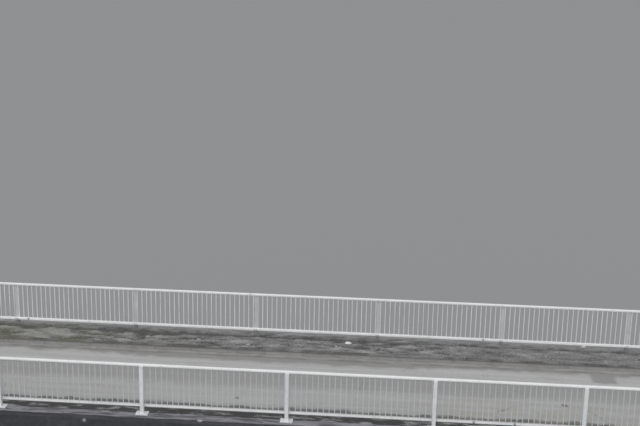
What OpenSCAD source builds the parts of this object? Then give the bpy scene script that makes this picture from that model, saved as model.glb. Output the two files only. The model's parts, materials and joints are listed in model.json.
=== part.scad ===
// Skew overbridge span with two metal bar parapets, on two leaf piers.
// X runs along the bridge, Y across it towards the far parapet, Z up from the ground.
// The origin is on the ground, in the middle of the plan.

/* [Span] */
// Number of parapet bays
bays = 6; // [2:1:8]
// Length of one parapet bay, post centre to post centre
bay_l = 3048; // [2400:1:3600]
// Length of deck past the end posts
end_overhang = 600; // [450:10:1200]
// Angle between the road below and a square crossing
skew = 20; // [0:1:35]
// Distance between the two lines of posts
line_gap = 4850; // [4600:10:8000]
// Height of the edge beam tops above the ground
deck_level = 7000; // [5500:10:9000]

/* [Edge beams] */
// Edge beam outside the line of posts
beam_out = 320; // [200:5:500]
// Edge beam inside the line of posts
beam_in = 150; // [100:5:300]
// Depth of the fascia
fascia_h = 560; // [540:5:900]
// Thickness of the fascia skirt
skirt_t = 200; // [150:5:240]
// Chamfer along the arrises of the edge beam
beam_chamfer = 25; // [10:1:40]
// Width and depth of the drip groove
drip = 25; // [15:1:40]
// Set back of the drip groove from the fascia
drip_set_back = 50; // [30:1:80]

/* [Deck slab] */
// Depth of the slab in the middle
slab_h = 850; // [500:10:1500]
// Thickness of the slab at its edges
slab_edge_t = 250; // [180:5:260]
// Width of the flat soffit
soffit_w = 3100; // [2400:10:3400]
// How far the sides of the slab lean out between soffit and cantilever
side_lean = 200; // [0:10:300]
// Rise of the cantilever soffit from its root to the slab edge
cantilever_rise = 95; // [0:5:120]

/* [Road and verges] */
// Thickness of the surfacing at the kerbs
surfacing_t = 100; // [60:5:150]
// Rise of the crown of the road
crown = 30; // [0:1:80]
// Step from the road up to the top of the kerbs
kerb_upstand = 100; // [50:5:150]
// Step from the verges up to the edge beam tops
beam_upstand = 75; // [25:5:150]
// Width of the kerbs
kerb_w = 125; // [100:5:200]
// Batter of the kerb face
kerb_batter = 25; // [10:1:40]
// Width of the near verge behind its kerb
near_verge_w = 325; // [200:5:800]
// Width of the far verge behind its kerb
far_verge_w = 575; // [200:5:800]

/* [Posts] */
// Width of the post flanges
post_w = 76; // [60:1:100]
// Depth of the post section
post_d = 76; // [60:1:100]
// Thickness of the post flanges
flange_t = 9; // [6:1:14]
// Thickness of the post web
web_t = 6; // [4:1:10]
// Length of the base plate along the bridge
plate_l = 260; // [200:5:300]
// Width of the base plate
plate_w = 180; // [150:5:190]
// Thickness of the base plate
plate_t = 20; // [12:1:30]
// Thickness of the cap plate under the top rail
cap_t = 10; // [6:1:16]

/* [Rails] */
// Height of the parapet over the edge beam
parapet_h = 1100; // [1000:5:1500]
// Width of the top rail
top_rail_w = 76; // [60:1:100]
// Depth of the top rail
top_rail_h = 38; // [34:1:60]
// Reach of the top rail over the bars, from the inner face of the posts
top_rail_reach = 44; // [36:1:50]
// Width of the bottom rail
bottom_rail_w = 50; // [44:1:70]
// Depth of the bottom rail
bottom_rail_h = 50; // [40:1:70]
// Clear height under the bottom rail
bottom_gap = 145; // [60:5:200]
// Wall of the rails
rail_wall = 5; // [3:0.5:5]
// Outer corner radius of the rails
rail_r = 8; // [6:1:12]
// Length of rail past the end posts
rail_overhang = 440; // [200:10:440]
// Thickness of the plates that close the rail ends
rail_plug_t = 6; // [4:1:12]

/* [Rail joints] */
// Gap at a joint of the bottom rails
bottom_joint_gap = 50; // [10:1:80]
// Gap at a joint of the top rails
top_joint_gap = 12; // [5:1:40]
// Grip of the joint sleeve in each rail end
sleeve_grip = 150; // [80:5:200]
// Wall of the joint sleeve
sleeve_wall = 5; // [3:0.5:8]
// Clearance of the sleeve in the rail that slides on it
sleeve_clear = 0.3; // [0.2:0.1:1]
// Near bottom joint, distance past its post
near_joint_past = 798; // [300:1:1000]
// Length of the short closing piece of the near bottom rail
closer_l = 788; // [600:1:1000]
// Far bottom left joint, distance past its post
far_joint_past = 275; // [250:1:900]
// Far bottom right joint, distance before its post
far_joint_before = 463; // [250:1:900]
// Top rail joints, distance before their posts
top_joint_before = 140; // [100:1:400]

/* [Infill] */
// Side of the square infill bars
bar_s = 16; // [12:1:20]
// Pitch of the infill bars
bar_pitch = 117; // [90:1:150]
// Line of the bars inside the inner face of the posts
bar_inset = 17; // [16:1:20]
// Width of the flats that carry the bars
flat_w = 30; // [24:1:32]
// Thickness of the flats
flat_t = 8; // [5:1:12]
// Gap between neighbouring panels
panel_gap = 12; // [4:1:40]

/* [Piers and bearings] */
// Set back of the pier centre lines from the ends of the deck
pier_set_back = 844; // [700:1:3000]
// Thickness of the piers
pier_t = 750; // [500:10:1200]
// Width of the piers along the skew, round ends included
pier_w = 3300; // [2600:10:3600]
// Bearing size along the bridge
bearing_l = 300; // [200:10:400]
// Bearing size across the bridge
bearing_w = 450; // [300:10:600]
// Bearing thickness
bearing_t = 60; // [30:5:100]
// Distance between the outer bearings of one pier
bearing_spread = 2100; // [1200:10:2400]
// Number of bearings on one pier
bearing_n = 3; // [2:1:4]
// Height of the bearing plinths
plinth_h = 120; // [60:5:200]
// Margin of the plinths round the bearings
plinth_rim = 50; // [20:5:80]

/* [Hidden] */

near = -1;
far = 1;
bridge_l = bays * bay_l;
deck_l = bridge_l + 2 * end_overhang;
half_line = line_gap / 2;
deck_half_w = half_line + beam_out;
slab_half_w = deck_half_w - skirt_t;
skew_run = tan(skew);
cut_margin = 200;

// Levels below the edge beam tops
verge_z = -beam_upstand;
road_z = verge_z - kerb_upstand;
slab_top_z = road_z - surfacing_t;
soffit_z = slab_top_z - slab_h;
cantilever_z = slab_top_z - slab_edge_t - cantilever_rise;

// Lines across the deck
beam_inner_y = half_line - beam_in;
near_kerb_back = -beam_inner_y + near_verge_w;
near_kerb_face = near_kerb_back + kerb_w;
far_kerb_back = beam_inner_y - far_verge_w;
far_kerb_face = far_kerb_back - kerb_w;

// Parapet, in its own frame: y grows towards the road, z from the edge beam top
post_inner_y = post_d / 2;
top_rail_y = post_inner_y + top_rail_reach - top_rail_w / 2;
top_rail_z = parapet_h - top_rail_h / 2;
top_rail_under = parapet_h - top_rail_h;
bottom_rail_y = post_inner_y + bottom_rail_w / 2;
bottom_rail_z = bottom_gap + bottom_rail_h / 2;
bottom_rail_over = bottom_gap + bottom_rail_h;
bar_y = post_inner_y + bar_inset;
bar_count = round(bay_l / bar_pitch);
bar_step = bay_l / bar_count;

// Posts beside which the rails are joined, counted from the left
near_joint_post = min(5, bays);
far_joint_post_1 = 1;
far_joint_post_2 = min(5, bays + 1);
near_top_joint_post = 2;
far_top_joint_post = min(3, bays + 1);

near_joint_1 = (near_joint_post - 1) * bay_l + near_joint_past;
near_joint_2 = near_joint_1 + bottom_joint_gap + closer_l;
far_joint_1 = (far_joint_post_1 - 1) * bay_l + far_joint_past;
far_joint_2 = (far_joint_post_2 - 1) * bay_l - far_joint_before;
near_top_joint = (near_top_joint_post - 1) * bay_l - top_joint_before;
far_top_joint = (far_top_joint_post - 1) * bay_l - top_joint_before;
rail_start = -rail_overhang;
rail_end = bridge_l + rail_overhang;

pier_x = deck_l / 2 - pier_set_back;
pier_top_z = deck_level + soffit_z - bearing_t - plinth_h;
corner_steps = 4;

// Corner points of a rectangle with round corners, centred on the origin
function round_rect(w, h, r) = [
    for (c = [0 : 3])
        for (s = [0 : corner_steps])
            let (a = 90 * (c + s / corner_steps))
            let (sx = (c == 0 || c == 3) ? 1 : -1)
            let (sy = (c < 2) ? 1 : -1)
            [sx * (w / 2 - r) + r * cos(a), sy * (h / 2 - r) + r * sin(a)]
];

// Extrudes a section given as across and up coordinates along the bridge, from x0 to x1
module along(x0, x1) {
    translate([x0, 0, 0])
        rotate([90, 0, 90])
            linear_extrude(height = x1 - x0)
                children();
}

// Extrudes a section over the whole deck and cuts its ends on the skew
module along_deck() {
    over = deck_l / 2 + deck_half_w * skew_run + cut_margin;
    cut_w = deck_half_w + cut_margin;
    cut_x = deck_l / 2;
    cut_run = cut_w * skew_run;
    intersection() {
        translate([0, 0, deck_level])
            along(-over, over)
                children();
        linear_extrude(height = deck_level + cut_margin)
            polygon([
                [-cut_x - cut_run, -cut_w],
                [cut_x - cut_run, -cut_w],
                [cut_x + cut_run, cut_w],
                [-cut_x + cut_run, cut_w]
            ]);
    }
}

// Puts a parapet piece on its line, x measured from the left end post
module on_line(side) {
    start_x = side * half_line * skew_run - bridge_l / 2;
    translate([start_x, side * half_line, deck_level])
        mirror([0, side == far ? 1 : 0, 0])
            children();
}

// Deck

module deck_slab() {
    half_soffit = soffit_w / 2;
    color("lightslategray")
        along_deck()
            polygon([
                [-half_soffit, soffit_z],
                [half_soffit, soffit_z],
                [half_soffit + side_lean, cantilever_z],
                [slab_half_w, slab_top_z - slab_edge_t],
                [slab_half_w, slab_top_z],
                [-slab_half_w, slab_top_z],
                [-slab_half_w, slab_top_z - slab_edge_t],
                [-half_soffit - side_lean, cantilever_z]
            ]);
}

module edge_beam(side) {
    foot_z = -fascia_h;
    drip_out = deck_half_w - drip_set_back;
    drip_in = drip_out - drip;
    color("dimgray")
        along_deck()
            scale([side, 1])
                polygon([
                    [beam_inner_y, slab_top_z],
                    [beam_inner_y, 0],
                    [deck_half_w - beam_chamfer, 0],
                    [deck_half_w, -beam_chamfer],
                    [deck_half_w, foot_z],
                    [drip_out, foot_z],
                    [drip_out, foot_z + drip],
                    [drip_in, foot_z + drip],
                    [drip_in, foot_z],
                    [slab_half_w, foot_z],
                    [slab_half_w, slab_top_z]
                ]);
}

module road_surface() {
    middle = (near_kerb_face + far_kerb_face) / 2;
    color("darkgray")
        along_deck()
            polygon([
                [near_kerb_face, slab_top_z],
                [far_kerb_face, slab_top_z],
                [far_kerb_face, road_z],
                [middle, road_z + crown],
                [near_kerb_face, road_z]
            ]);
}

module verge(inner, outer) {
    color("olivedrab")
        along_deck()
            polygon([[inner, slab_top_z], [outer, slab_top_z], [outer, verge_z], [inner, verge_z]]);
}

module kerb(face, back) {
    dir = sign(back - face);
    color("gray")
        along_deck()
            polygon([
                [face, slab_top_z],
                [face, road_z],
                [face + dir * kerb_batter, verge_z],
                [back, verge_z],
                [back, slab_top_z]
            ]);
}

// Piers

module pier(side) {
    straight = pier_w - pier_t;
    pitch = bearing_spread / (bearing_n - 1);
    color("silver")
        translate([side * pier_x, 0, 0]) {
            rotate([0, 0, -skew])
                translate([-pier_t / 2, -straight / 2, 0])
                    cube([pier_t, straight, pier_top_z]);
            for (end = [-1, 1])
                rotate([0, 0, -skew])
                    translate([0, end * straight / 2, 0])
                        cylinder(d = pier_t, h = pier_top_z, $fn = 64);
            for (i = [0 : bearing_n - 1])
                bearing_place(i, pitch)
                    plinth();
        }
}

module bearing_place(i, pitch) {
    rotate([0, 0, -skew])
        translate([0, i * pitch - bearing_spread / 2, pier_top_z])
            children();
}

module plinth() {
    l = bearing_l + 2 * plinth_rim;
    w = bearing_w + 2 * plinth_rim;
    translate([-l / 2, -w / 2, 0])
        cube([l, w, plinth_h]);
}

module bearings() {
    pitch = bearing_spread / (bearing_n - 1);
    color("black")
        for (side = [-1, 1])
            translate([side * pier_x, 0, plinth_h])
                for (i = [0 : bearing_n - 1])
                    bearing_place(i, pitch)
                        translate([-bearing_l / 2, -bearing_w / 2, 0])
                            cube([bearing_l, bearing_w, bearing_t]);
}

// Parapets

module post(side, i) {
    web_h = top_rail_under - cap_t - plate_t;
    color("gainsboro")
        on_line(side)
            translate([(i - 1) * bay_l, 0, 0]) {
                translate([-plate_l / 2, -plate_w / 2, 0])
                    cube([plate_l, plate_w, plate_t]);
                translate([0, 0, plate_t])
                    linear_extrude(height = web_h)
                        joist_section();
                translate([-post_w / 2, -post_d / 2, plate_t + web_h])
                    cube([post_w, post_d, cap_t]);
            }
}

module joist_section() {
    polygon([
        [-post_w / 2, -post_d / 2],
        [post_w / 2, -post_d / 2],
        [post_w / 2, -post_d / 2 + flange_t],
        [web_t / 2, -post_d / 2 + flange_t],
        [web_t / 2, post_d / 2 - flange_t],
        [post_w / 2, post_d / 2 - flange_t],
        [post_w / 2, post_d / 2],
        [-post_w / 2, post_d / 2],
        [-post_w / 2, post_d / 2 - flange_t],
        [-web_t / 2, post_d / 2 - flange_t],
        [-web_t / 2, -post_d / 2 + flange_t],
        [-post_w / 2, -post_d / 2 + flange_t]
    ]);
}

module panel(side, i) {
    flat_l = bay_l - panel_gap;
    bar_z = bottom_rail_over + flat_t;
    bar_h = top_rail_under - flat_t - bar_z;
    color("lightgray")
        on_line(side)
            translate([(i - 1) * bay_l, bar_y, 0]) {
                for (z = [bottom_rail_over, top_rail_under - flat_t])
                    translate([panel_gap / 2, -flat_w / 2, z])
                        cube([flat_l, flat_w, flat_t]);
                for (b = [0 : bar_count - 1])
                    translate([(b + 0.5) * bar_step - bar_s / 2, -bar_s / 2, bar_z])
                        cube([bar_s, bar_s, bar_h]);
            }
}

// One length of hollow rail from x0 to x1. It has a sleeve into the next length where a
// gap follows, and a plate closes it at each end of the parapet.
module rail(side, w, h, y, z, x0, x1, gap) {
    in_w = w - 2 * rail_wall;
    in_h = h - 2 * rail_wall;
    in_r = rail_r - rail_wall;
    color("whitesmoke")
        on_line(side)
            translate([0, y, z]) {
                along(x0, x1)
                    hollow_section(w, h, rail_r, rail_wall, in_r);
                if (x0 == rail_start)
                    along(x0, x0 + rail_plug_t)
                        polygon(round_rect(w, h, rail_r));
                if (x1 == rail_end)
                    along(x1 - rail_plug_t, x1)
                        polygon(round_rect(w, h, rail_r));
                if (gap > 0)
                    sleeve(in_w, in_h, in_r, x1, gap);
            }
}

module hollow_section(w, h, r, wall, in_r) {
    difference() {
        polygon(round_rect(w, h, r));
        polygon(round_rect(w - 2 * wall, h - 2 * wall, in_r));
    }
}

// The sleeve is welded into the left length and slides in the right one
module sleeve(w, h, r, x, gap) {
    along(x - sleeve_grip, x)
        hollow_section(w, h, r, sleeve_wall, r);
    along(x, x + gap + sleeve_grip)
        hollow_section(w - 2 * sleeve_clear, h - 2 * sleeve_clear, r, sleeve_wall - sleeve_clear, r);
}

module top_rail(side, x0, x1, gap) {
    rail(side, top_rail_w, top_rail_h, top_rail_y, top_rail_z, x0, x1, gap);
}

module bottom_rail(side, x0, x1, gap) {
    rail(side, bottom_rail_w, bottom_rail_h, bottom_rail_y, bottom_rail_z, x0, x1, gap);
}

deck_slab();
edge_beam(near);  // near_edge_beam
edge_beam(far);  // far_edge_beam
road_surface();
verge(-beam_inner_y, near_kerb_back);  // near_verge
verge(far_kerb_back, beam_inner_y);  // far_verge
kerb(near_kerb_face, near_kerb_back);  // near_kerb
kerb(far_kerb_face, far_kerb_back);  // far_kerb
pier(-1);  // left_pier
pier(1);  // right_pier
bearings();
for (i = [1 : bays + 1]) {
    post(near, i);
    post(far, i);
}
for (i = [1 : bays]) {
    panel(near, i);
    panel(far, i);
}
top_rail(near, rail_start, near_top_joint, top_joint_gap);  // near_top_rail_1
top_rail(near, near_top_joint + top_joint_gap, rail_end, 0);  // near_top_rail_2
top_rail(far, rail_start, far_top_joint, top_joint_gap);  // far_top_rail_1
top_rail(far, far_top_joint + top_joint_gap, rail_end, 0);  // far_top_rail_2
bottom_rail(near, rail_start, near_joint_1, bottom_joint_gap);  // near_bottom_rail_1
bottom_rail(near, near_joint_1 + bottom_joint_gap, near_joint_2, bottom_joint_gap);  // near_bottom_rail_2
bottom_rail(near, near_joint_2 + bottom_joint_gap, rail_end, 0);  // near_bottom_rail_3
bottom_rail(far, rail_start, far_joint_1, bottom_joint_gap);  // far_bottom_rail_1
bottom_rail(far, far_joint_1 + bottom_joint_gap, far_joint_2, bottom_joint_gap);  // far_bottom_rail_2
bottom_rail(far, far_joint_2 + bottom_joint_gap, rail_end, 0);  // far_bottom_rail_3
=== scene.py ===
import json
import math
import random

import bmesh
import bpy
from mathutils import Matrix, Vector, noise

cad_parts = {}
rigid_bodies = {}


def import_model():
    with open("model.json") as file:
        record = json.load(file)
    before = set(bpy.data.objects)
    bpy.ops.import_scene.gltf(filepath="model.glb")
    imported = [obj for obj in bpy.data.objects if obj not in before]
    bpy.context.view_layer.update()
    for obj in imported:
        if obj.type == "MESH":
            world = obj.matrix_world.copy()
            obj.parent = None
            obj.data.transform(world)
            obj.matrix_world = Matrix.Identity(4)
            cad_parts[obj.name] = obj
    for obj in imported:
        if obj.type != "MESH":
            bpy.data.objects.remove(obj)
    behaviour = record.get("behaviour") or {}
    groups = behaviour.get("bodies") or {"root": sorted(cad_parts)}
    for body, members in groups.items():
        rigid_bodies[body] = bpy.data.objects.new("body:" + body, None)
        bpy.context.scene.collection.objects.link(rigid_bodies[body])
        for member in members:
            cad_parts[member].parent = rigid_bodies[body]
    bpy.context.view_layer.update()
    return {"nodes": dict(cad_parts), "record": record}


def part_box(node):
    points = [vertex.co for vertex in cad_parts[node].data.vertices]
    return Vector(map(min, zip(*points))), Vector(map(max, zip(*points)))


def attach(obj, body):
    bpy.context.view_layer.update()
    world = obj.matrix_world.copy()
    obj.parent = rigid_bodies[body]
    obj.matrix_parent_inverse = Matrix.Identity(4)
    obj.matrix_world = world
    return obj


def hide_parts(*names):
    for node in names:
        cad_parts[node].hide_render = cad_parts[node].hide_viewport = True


for thing in list(bpy.data.objects):
    bpy.data.objects.remove(thing)

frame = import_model()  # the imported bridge, in metres
nodes = frame["nodes"]
print("frame loaded,", len(nodes), "nodes")


# Layout taken from the frame
sides = ("near", "far")
roadward = {"near": 1, "far": -1}  # the way across the deck from each side to the road
skew = math.radians(20)
skewRun = math.tan(skew)  # how far the deck's ends shift along it, per metre across
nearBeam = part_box("near_edge_beam")
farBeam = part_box("far_edge_beam")
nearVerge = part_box("near_verge")
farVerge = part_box("far_verge")
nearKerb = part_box("near_kerb")
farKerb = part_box("far_kerb")
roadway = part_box("road_surface")
deckHalf = nearBeam[1].x - nearBeam[1].y * skewRun
deckTop = nearBeam[1].z
vergeTop = farVerge[1].z
slabTop = farVerge[0].z
kerbShow = 0.1  # height of a kerb over the road beside it
roadEdge = vergeTop - kerbShow
roadMiddle = (nearKerb[1].y + farKerb[0].y) / 2
roadFall = (roadway[1].z - roadEdge) / (farKerb[0].y - roadMiddle)
postCount = 7
postNames = {side: ["%s_post_%d" % (side, i + 1) for i in range(postCount)] for side in sides}
panelNames = {side: ["%s_panel_%d" % (side, i + 1) for i in range(postCount - 1)] for side in sides}

# Sizes that the frame's boxes don't give
bayLength = 3.048
barCount = 26  # in each panel
barPitch = bayLength / barCount
barHalf = 0.008
flatThick = 0.008  # the flats that hold a panel's bars
plateThick = 0.02  # a post's base plate
postSection = {"half": 0.038, "webHalf": 0.003, "flange": 0.009, "cap": 0.01}
jointGaps = {"top": 0.012, "bottom": 0.05}
railLengths = {"top": 2, "bottom": 3}


def middle(name):
    low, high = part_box(name)
    return (low + high) / 2


def roadFace(side, box):
    return box[1].y if side == "near" else box[0].y


def roadHeight(y):
    return roadway[1].z - abs(y - roadMiddle) * roadFall


# The joints in one side's rails: the two ends of each gap, and the box of the length after it
def railJoints(side):
    joints = []
    for kind, count in railLengths.items():
        for i in range(2, count + 1):
            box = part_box("%s_%s_rail_%d" % (side, kind, i))
            joints.append((box[0].x - jointGaps[kind], box[0].x, box))
    return joints


# Colours are written as 8-bit values
def colour(red, green, blue):
    def linear(value):
        share = value / 255
        return share / 12.92 if share <= 0.04045 else ((share + 0.055) / 1.055) ** 2.4
    return (linear(red), linear(green), linear(blue), 1.0)


def grey(level, warm=0):
    return colour(level + warm, level, level - warm)


# Short forms for shader nodes. Only place is told its node tree: the others find it from their sockets.
def feed(socket, value):
    if isinstance(value, bpy.types.NodeSocket):
        socket.id_data.links.new(value, socket)
    else:
        socket.default_value = value


def place(tree, kind, inputs=None, **settings):
    made = tree.nodes.new("ShaderNode" + kind)
    for key, value in settings.items():
        setattr(made, key, value)
    for key, value in (inputs or {}).items():
        feed(made.inputs[key], value)
    return made


def beside(kind, inputs, **settings):
    tree = next(value.id_data for value in inputs.values() if isinstance(value, bpy.types.NodeSocket))
    return place(tree, kind, inputs, **settings).outputs


def maths(operation, first, second=0.0, third=0.0):
    return beside("Math", {0: first, 1: second, 2: third}, operation=operation)[0]


def both(first, second):
    return maths("MULTIPLY", first, second)


def either(first, second):
    return maths("MAXIMUM", first, second)


def inverse(mask):
    return maths("SUBTRACT", 1.0, mask)


# The base with a share of the value on top
def added(base, value, share):
    return maths("MULTIPLY_ADD", value, share, base)


# 0 at the first level, 1 at the second, and smooth between them
def fade(value, low, high):
    inputs = {"Value": value, "From Min": low, "From Max": high}
    return beside("MapRange", inputs, interpolation_type="SMOOTHSTEP")[0]


# How far a count is from the middle of its step: 0.5 where two steps meet
def offMiddle(count):
    return maths("ABSOLUTE", maths("SUBTRACT", maths("FRACT", count), 0.5))


# Coats of colour over a ground, from the lowest up: each is a mask, how much of it covers, and its colour.
# A colour is named in the look, or made elsewhere.
def layered(look, ground, *coats):
    tint = look[ground] if isinstance(ground, str) else ground
    for mask, share, over in coats:
        mask = mask if share == 1 else both(mask, share)
        over = look[over] if isinstance(over, str) else over
        tint = beside("Mix", {0: mask, 6: tint, 7: over}, data_type="RGBA")[2]
    return tint


def axes(vector):
    return list(beside("SeparateXYZ", {0: vector}))


def scaled(vector, x, y, z):
    inputs = {0: vector, 1: place(vector.id_data, "CombineXYZ", {0: x, 1: y, 2: z}).outputs[0]}
    return beside("VectorMath", inputs, operation="MULTIPLY")[0]


def cloudy(vector, scale, detail):
    return beside("TexNoise", {"Vector": vector, "Scale": scale, "Detail": detail})[0]


def cells(vector, scale, **settings):
    return beside("TexVoronoi", {"Vector": vector, "Scale": scale}, **settings)


def cellShade(made):
    return beside("SeparateColor", {0: made["Color"]})[0]


# A value shifted to and fro by a noise that runs from 0 to 1
def wavy(value, wander, reach):
    return added(value, maths("SUBTRACT", wander, 0.5), reach)


# A spot round a point, between an outer and an inner radius that the noise makes ragged
def blot(where, spot, radii, wander, ragged):
    away = beside("VectorMath", {0: where, 1: spot}, operation="DISTANCE")["Value"]
    return fade(added(away, wander, ragged), *radii)


def newGroup(name, inputs, outputs):
    group = bpy.data.node_groups.new(name, "ShaderNodeTree")
    for label, value in inputs.items():
        kind = "NodeSocketVector" if value is None else "NodeSocketFloat"
        socket = group.interface.new_socket(label, in_out="INPUT", socket_type=kind)
        if value is not None:
            socket.default_value = value
    for label in outputs:
        group.interface.new_socket(label, in_out="OUTPUT", socket_type="NodeSocketFloat")
    given = group.nodes.new("NodeGroupInput").outputs
    wanted = group.nodes.new("NodeGroupOutput").inputs
    return group, given, wanted


def useGroup(group, **inputs):
    return beside("Group", inputs, node_tree=group)


# Stains with soft edges
def makeStains():
    group, given, wanted = newGroup(
        "stains", {"Vector": None, "Scale": 1.0, "Detail": 5.0, "Low": 0.45, "High": 0.6}, ["Mask"])
    field = beside("TexNoise", {"Vector": given["Vector"], "Scale": given["Scale"],
                                "Detail": given["Detail"], "Roughness": 0.6, "Distortion": 0.4})[0]
    feed(wanted["Mask"], fade(field, given["Low"], given["High"]))
    return group


# Water runs down a face: narrow across, long in height, and only in some places
def makeRuns():
    group, given, wanted = newGroup(
        "runs", {"Vector": None, "Across": 20.0, "Down": 0.6, "Low": 0.5, "High": 0.7}, ["Mask"])
    thin = cloudy(scaled(given["Vector"], given["Across"], given["Across"], given["Down"]), 1.0, 3.0)
    wide = cloudy(given["Vector"], 0.9, 2.0)
    lines = fade(thin, given["Low"], given["High"])
    feed(wanted["Mask"], both(lines, fade(wide, 0.4, 0.62)))
    return group


# Aggregate in concrete or asphalt: a shade for every grain, and their height
def makeGrains():
    group, given, wanted = newGroup("grains", {"Vector": None, "Scale": 150.0}, ["Shade", "Height"])
    grain = cells(given["Vector"], given["Scale"])
    fine = cloudy(given["Vector"], given["Scale"], 3.0)
    feed(wanted["Shade"], cellShade(grain))
    feed(wanted["Height"], added(inverse(grain["Distance"]), fine, 0.6))
    return group


# Small separate spots: Share says how many of the cells hold one
def makeSpots():
    group, given, wanted = newGroup(
        "spots", {"Vector": None, "Scale": 20.0, "Size": 0.25, "Share": 0.3}, ["Mask"])
    cell = cells(given["Vector"], given["Scale"])
    chance = cellShade(cell)
    size = both(given["Size"], maths("ADD", chance, 0.6))
    inside = fade(cell["Distance"], size, both(size, 0.5))
    feed(wanted["Mask"], both(inside, maths("LESS_THAN", chance, given["Share"])))
    return group


# Marks of the boards that the concrete was cast against
def makeBoards():
    group, given, wanted = newGroup(
        "boards", {"Across": 0.0, "Along": 0.0, "Width": 0.15, "Length": 2.4}, ["Shade", "Height"])
    rows = maths("DIVIDE", given["Across"], given["Width"])
    row = maths("FLOOR", rows)
    shift = beside("TexWhiteNoise", {"W": row}, noise_dimensions="1D")["Value"]
    lengths = maths("ADD", maths("DIVIDE", given["Along"], given["Length"]), shift)
    spot = beside("CombineXYZ", {0: row, 1: maths("FLOOR", lengths)})[0]
    shade = beside("TexWhiteNoise", {"Vector": spot}, noise_dimensions="2D")["Value"]
    flat = both(fade(offMiddle(rows), 0.5, 0.47), fade(offMiddle(lengths), 0.5, 0.498))
    fibre = beside("CombineXYZ", {0: both(given["Along"], 3), 1: both(given["Across"], 90), 2: shade})[0]
    feed(wanted["Shade"], shade)
    feed(wanted["Height"], added(added(flat, shade, 0.3), cloudy(fibre, 1.0, 4.0), 0.35))
    return group


# 1 inside a block round a point; Reach is half its size
def makeBlock():
    group, given, wanted = newGroup("block", {"Vector": None, "Middle": None, "Reach": None}, ["Mask"])
    away = beside("VectorMath", {0: given["Vector"], 1: given["Middle"]}, operation="SUBTRACT")[0]
    away = beside("VectorMath", {0: away}, operation="ABSOLUTE")[0]
    x, y, z = axes(beside("VectorMath", {0: away, 1: given["Reach"]}, operation="DIVIDE")[0])
    feed(wanted["Mask"], fade(either(either(x, y), z), 1.12, 0.96))
    return group


stains, runs, grains, spots, boards = makeStains(), makeRuns(), makeGrains(), makeSpots(), makeBoards()
block = makeBlock()


def stained(vector, scale, detail, low, high):
    return useGroup(stains, Vector=vector, Scale=scale, Detail=detail, Low=low, High=high)["Mask"]


def washed(vector, across, down, low, high):
    return useGroup(runs, Vector=vector, Across=across, Down=down, Low=low, High=high)["Mask"]


def spotted(vector, scale, size, share):
    return useGroup(spots, Vector=vector, Scale=scale, Size=size, Share=share)["Mask"]


finish = {}  # every material, by the name that this script gives it


# A material begins with its node tree and the place on the object
def newMaterial(name):
    material = bpy.data.materials.new(name)
    finish[name] = material
    material.use_nodes = True
    material.node_tree.nodes.clear()
    return material, place(material.node_tree, "TexCoord").outputs["Object"]


def surfaceNormal(material):
    return place(material.node_tree, "NewGeometry").outputs["Normal"]


def facingUp(normal):
    return fade(axes(normal)[2], 0.5, 0.9)


# It ends with its shader: the height's unit is as deep as depth says, in metres
def finished(material, tint, roughness, height=None, depth=0.0, strength=1.0, metallic=0.0):
    inputs = {"Base Color": tint, "Roughness": roughness, "Metallic": metallic}
    if height is not None:
        inputs["Normal"] = beside("Bump", {"Height": height, "Distance": depth, "Strength": strength})[0]
    shader = place(material.node_tree, "BsdfPrincipled", inputs).outputs[0]
    place(material.node_tree, "OutputMaterial", {"Surface": shader})


# Paint on the parapets, chalky and a little dirty. The rails, bars and posts carry one paint: the rails'
# fresh and chalky greys are lightest, the bars' a little darker and the posts' darker still, as painted
# light and shade.
paintLooks = {
    "railPaint": {"fresh": grey(247, -1), "chalky": grey(239, -1), "dirt": grey(166), "dirtShare": 0.16,
                  "spray": 0.04, "rust": 0.03},
    # the posts' greyer fresh and chalky tones are painted shade
    "postPaint": {"fresh": grey(236, -2), "chalky": grey(224, -2), "dirt": grey(146, -2), "dirtShare": 0.2,
                  "spray": 0.42, "rust": 0.06},
    "barPaint": {"fresh": grey(244, -2), "chalky": grey(232, -2), "dirt": grey(146, -1), "dirtShare": 0.18,
                 "spray": 0.1, "rust": 0.04},
}
nearBarDarkening = 0.46  # how much of the near bars' paint is darkened to an even grey
# near the deck the near posts are lightly splashed, and the far ones caked
footGrime = {
    "fadeOut": (deckTop + 0.12, deckTop + 0.02), "near": 0.25, "far": 0.8,
    "cakeOut": (deckTop + 0.16, deckTop + 0.1), "cake": grey(134, 1),
}
sleeveGrimeAndShade = grey(168)  # bare and grimy between the rails' ends, and darkened further there as painted shade in the gap
rustColour = colour(112, 74, 50)


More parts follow.
